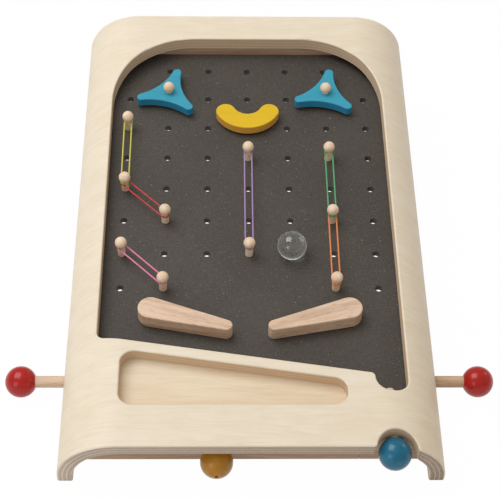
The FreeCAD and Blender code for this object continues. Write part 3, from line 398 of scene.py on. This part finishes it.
def lacquer(name, deep, light):
    """Lacquer that varies between two close colours."""
    coat = Paint(name, IOR=1.5, Specular_IOR_Level=0.38)
    point = coat.place()
    ripple = coat.noise(point, 160)
    dust = coat.noise(point, 1400, 1.0)
    coat.set(Base_Color=coat.mix(ripple.between(0.3, 0.7), deep, light),
             Roughness=0.17 + ripple * 0.06 + dust * 0.04)
    coat.bump(ripple * 0.8 + dust * 0.2, 0.00006)
    return coat


lacquer("red_lacquer", (0.36, 0.008, 0.006), (0.42, 0.011, 0.008)).on("left_knob", "right_knob")
lacquer("blue_lacquer", (0.007, 0.112, 0.195), (0.010, 0.138, 0.235)).on("plunger_knob")
lacquer("yellow_lacquer", (0.365, 0.160, 0.008), (0.425, 0.19, 0.011)).on("drawer_knob")

# ---- Bumpers ---------------------------------------------------------------------------------
# Two three-pointed stars in light blue and a crescent in yellow, sawn from wood and painted,
# with the paint thin enough for the wood's grain to print through.  Painted shade gives their
# sides a deeper tone.

SIDES_END, FACE_STARTS = 0.0100, 0.0107


def thin_paint(name, face, grained, side_shade):
    """Paint with a second tone along the grain, and painted shade below the upper face's edge."""
    coat = Paint(name, IOR=1.45, Specular_IOR_Level=0.35)
    x, y, z = coat.split(coat.place())
    grain = coat.grain(x * 30, y * 500, z * 500, 3.0, 0.6)
    blotch = coat.grain(x * 60, y * 60, z * 60)
    colour = coat.mix(grain.between(0.42, 0.72) * 0.6, face, grained)
    colour = coat.mix((1 - z.between(SIDES_END, FACE_STARTS)) * 0.85, colour, side_shade)
    coat.set(Base_Color=colour, Roughness=0.42 + grain * 0.12 + blotch * 0.05)
    coat.bump(grain, 0.00008)
    return coat


thin_paint("star_blue", (0.036, 0.318, 0.452), (0.028, 0.255, 0.375),
           (0.025, 0.215, 0.40)).on("left_star", "right_star")
thin_paint("crescent_yellow", (0.70, 0.455, 0.010), (0.62, 0.385, 0.008),
           (0.68, 0.335, 0.07)).on("bumper")

# ---- Rubber bands ----------------------------------------------------------------------------
# Six thin rubber bands in six colours, stretched round the necks of the pegs.  A dusty bloom
# makes them a little paler in spots.

for colour, shade in (("yellow", (0.55, 0.53, 0.06)), ("red", (0.52, 0.035, 0.030)),
                      ("pink", (0.72, 0.20, 0.36)), ("purple", (0.36, 0.21, 0.44)),
                      ("green", (0.07, 0.36, 0.14)), ("orange", (0.75, 0.22, 0.05))):
    rubber = Paint(colour + "_rubber", IOR=1.5)
    bloom = rubber.noise(rubber.place(), 700)
    paler = tuple(0.75 * part + 0.2 for part in shade)
    rubber.set(Base_Color=rubber.mix(bloom.between(0.45, 0.8) * 0.5, shade, paler),
               Roughness=0.5 + bloom * 0.2)
    rubber.bump(bloom, 0.00005)
    rubber.on(colour + "_band")

# ---- Steel pins and screws -------------------------------------------------------------------
# Bright steel, finely scratched.  The pins are pressed into the plunger's rod and the yokes, the
# countersunk screws go up through the board, and one screw holds the drawer's knob.

steel = Paint("bright_steel", Metallic=1.0)
scratch = steel.noise(steel.place(), 1800)
steel.set(Base_Color=steel.mix(scratch, (0.50, 0.50, 0.51), (0.66, 0.66, 0.67)),
          Roughness=0.24 + scratch * 0.18)
steel.bump(scratch, 0.00003)
steel.on("board_screws", "drawer_screw", "plunger_pin", "left_drive_pin", "right_drive_pin")

# ---- Springs ---------------------------------------------------------------------------------
# Wound from round steel wire.  The two on the push rods are squeezed between collar and guide,
# and the thin one under the board is stretched from a fixed peg to the plunger's pin.

# The wire's radius and the way that a push rod goes, then each coil's radius and length.
WIRE, PUSH = 0.0005, 0.02
ROD_COIL, ROD_SPRING = 0.0064, 0.02569
PLUNGER_COIL, PLUNGER_SPRING = 0.003, 0.01896
ROD_TURNS, PLUNGER_TURNS = 6, 9
WIRE_SIDES, STEPS_PER_TURN = 10, 24


def put(name, data):
    """A new object in the scene."""
    thing = bpy.data.objects.new(name, data)
    bpy.context.scene.collection.objects.link(thing)
    return thing


def solid(name, bm, paint):
    """A new object in the scene, of the bmesh and in the paint."""
    mesh = bpy.data.meshes.new(name)
    bm.to_mesh(mesh)
    bm.free()
    mesh.materials.append(paint.material)
    return put(name, mesh)


def spring(word, node_name, along, turns, radius, length):
    """A coil of wire in the place of the named node, wound along the given direction."""
    low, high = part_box(node_name)
    centre = (low + high) / 2
    steps = turns * STEPS_PER_TURN
    bm = bmesh.new()
    bmesh.ops.create_circle(bm, cap_ends=True, segments=WIRE_SIDES, radius=WIRE)
    bmesh.ops.rotate(bm, verts=bm.verts, matrix=Matrix.Rotation(math.radians(90), 3, "X"))
    bmesh.ops.translate(bm, verts=bm.verts, vec=(radius, 0, -length / 2))
    bmesh.ops.spin(bm, geom=bm.verts[:] + bm.edges[:] + bm.faces[:], axis=(0, 0, 1),
                   dvec=(0, 0, length / steps), angle=math.tau * turns, steps=steps)
    bmesh.ops.recalc_face_normals(bm, faces=bm.faces)
    turned = Vector((0, 0, 1)).rotation_difference(along).to_matrix().to_4x4()
    bmesh.ops.transform(bm, verts=bm.verts, matrix=Matrix.Translation(centre) @ turned)
    for face in bm.faces:
        face.smooth = len(face.verts) == 4
    coil = solid(word, bm, steel)
    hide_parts(node_name)
    return coil, centre


for side, sign in (("left", -1), ("right", 1)):
    coil, centre = spring(side + "_rod_coil", side + "_rod_spring", Vector((1, 0, 0)), ROD_TURNS,
                          ROD_COIL, ROD_SPRING)
    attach(coil, side + "_push")
    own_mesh(coil)

slope = Vector((0, math.cos(TILT), math.sin(TILT)))
coil, centre = spring("plunger_coil", "plunger_spring", slope, PLUNGER_TURNS,
                      PLUNGER_COIL, PLUNGER_SPRING)
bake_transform(coil)

# ---- Marble ----------------------------------------------------------------------------------
# A clear glass marble, very slightly green and with a faint haze.  It is loose, and rests in
# one of the peg holes.

MARBLE = 0.0125
MARBLE_SEGMENTS, MARBLE_RINGS = 192, 128

glass = Paint("clear_glass", IOR=1.5, Transmission_Weight=1.0, Roughness=0.0, Coat_Weight=0.65,
              Coat_Roughness=0.035, Coat_IOR=1.45, Specular_IOR_Level=0.1)
haze = glass.noise(glass.place(), 60, 1.0)
glass.set(Base_Color=glass.mix(haze.between(0.3, 0.8), (0.83, 0.845, 0.79),
                               (0.76, 0.775, 0.72)))
low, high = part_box("marble")
bm = bmesh.new()
bmesh.ops.create_uvsphere(bm, u_segments=MARBLE_SEGMENTS, v_segments=MARBLE_RINGS, radius=MARBLE)
bmesh.ops.translate(bm, verts=bm.verts, vec=(low + high) / 2)
for face in bm.faces:
    face.smooth = True
marble = solid("glass_marble", bm, glass)
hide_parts("marble")
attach(marble, "loose_marble")

# ---- Table top, light and camera -------------------------------------------------------------
# The case stands on a plain white table.  A broad soft lamp hangs over it to the left, a weaker
# one stands in front, and a small warm one behind it to the right.

TABLE_HALF = 6
WHITE = (1, 1, 1)
AIM = Vector((0, 0, 0.05))


class Sky(Paint):
    """The world, painted in the same way as a piece."""

    def __init__(self, name, **sockets):
        self.world = bpy.data.worlds.new(name)
        self.world.use_nodes = True
        self.tree = self.world.node_tree
        self.shader = self.tree.nodes["Background"]
        self.set(**sockets)


def seen_by(paint, *kinds):
    """1 for rays of these kinds, 0 for others."""
    rays = paint.node("LightPath").socket.node.outputs
    first, *others = [Wire(paint, rays[f"Is {kind} Ray"]) for kind in kinds]
    for other in others:
        first = first.at_least(other)
    return first


def show(paint, output, share, light):
    """Puts the light in place of the paint by the share, and both on the output node."""
    plain = Wire(paint, paint.shader.outputs[0])
    both = paint.node("MixShader", sockets={0: share, 1: plain, 2: light})
    paint.feed(paint.tree.nodes[output].inputs["Surface"], both)


white = Paint("white_table", Base_Color=(0.80, 0.80, 0.80), Roughness=0.9)
glow = white.node("Emission", sockets={"Color": WHITE, "Strength": 1.0})
show(white, "Material Output", seen_by(white, "Camera", "Glossy", "Transmission") * 0.985, glow)
bm = bmesh.new()
bmesh.ops.create_grid(bm, x_segments=1, y_segments=1, size=TABLE_HALF)
table = solid("table", bm, white)

sky = Sky("studio", Color=(1, 0.955, 0.89), Strength=0.54)
backdrop = sky.node("Background", sockets={"Color": WHITE, "Strength": 1.0})
show(sky, "World Output", seen_by(sky, "Camera", "Transmission"), backdrop)
bpy.context.scene.world = sky.world

for name, place, size, power, blue in (("key", (-0.75, 0.22, 1.75), 1.3, 21, 1.03),
                                       ("front", (-1.2, -1.5, 0.8), 0.9, 5, 1.0),
                                       ("rim", (1.6, 0.85, 0.95), 0.5, 2.3, 0.66)):
    lamp = bpy.data.lights.new(name, "AREA")
    lamp.size = size
    lamp.energy = power
    lamp.color = (1, 0.5 + 0.5 * blue, blue)
    light = put(name, lamp)
    light.location = place
    light.rotation_euler = (AIM - Vector(place)).to_track_quat("-Z", "Y").to_euler()

lens = bpy.data.cameras.new("camera")
lens.lens = 100.024
lens.sensor_width = 36
lens.clip_end = 50
camera = put("camera", lens)
camera.location = (-0.023915, -0.861162, 0.901135)
camera.rotation_euler = [math.radians(angle) for angle in (44.5265, -0.9220, -0.7685)]
bpy.context.scene.camera = camera
bpy.context.scene.view_settings.view_transform = "Standard"
